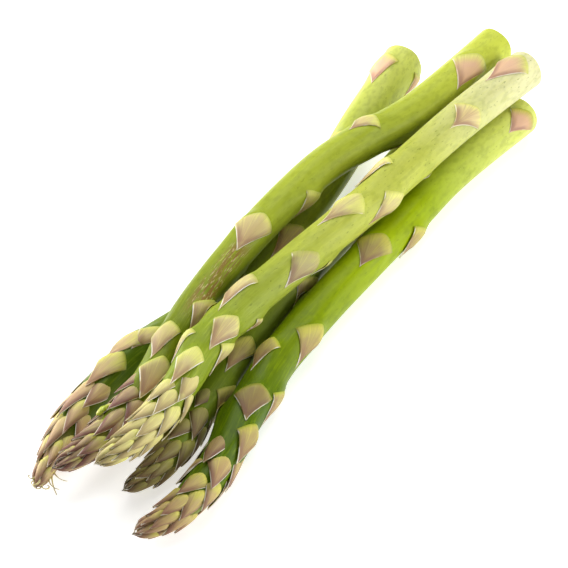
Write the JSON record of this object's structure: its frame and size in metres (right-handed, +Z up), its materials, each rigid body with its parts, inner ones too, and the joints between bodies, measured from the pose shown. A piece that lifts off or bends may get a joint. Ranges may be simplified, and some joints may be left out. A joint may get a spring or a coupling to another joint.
{
  "type": "bundle of asparagus spears",
  "caption": "Loose bundle of fresh green asparagus spears lying on a surface, with scale leaves along the stems and closed pointed heads.",
  "frame": {"origin": "on the surface that the bundle lies on, under the middle of its bounding box", "axes": "+X along the spears from the cut ends to the tips, +Y across the bundle, +Z up"},
  "size_m": [0.2368, 0.0709, 0.0293],
  "materials": {
    "spear_lower_left": "waxy green vegetable skin, pale at the cut end, mauve and tan scale leaves",
    "spear_lower_middle": "waxy dark olive green vegetable skin, khaki scale leaves",
    "spear_lower_right": "waxy bright yellow-green vegetable skin, tan scale leaves",
    "spear_upper_left": "waxy mid-green vegetable skin with a brown scuff, mauve scale leaves",
    "spear_upper_right": "waxy pale yellow-green vegetable skin, cream at the cut end, tan scale leaves"
  },
  "bodies": {
    "root": {"spear_lower_left": "spear_lower_left", "spear_lower_middle": "spear_lower_middle", "spear_lower_right": "spear_lower_right", "spear_upper_left": "spear_upper_left", "spear_upper_right": "spear_upper_right"}
  },
  "joints": []
}
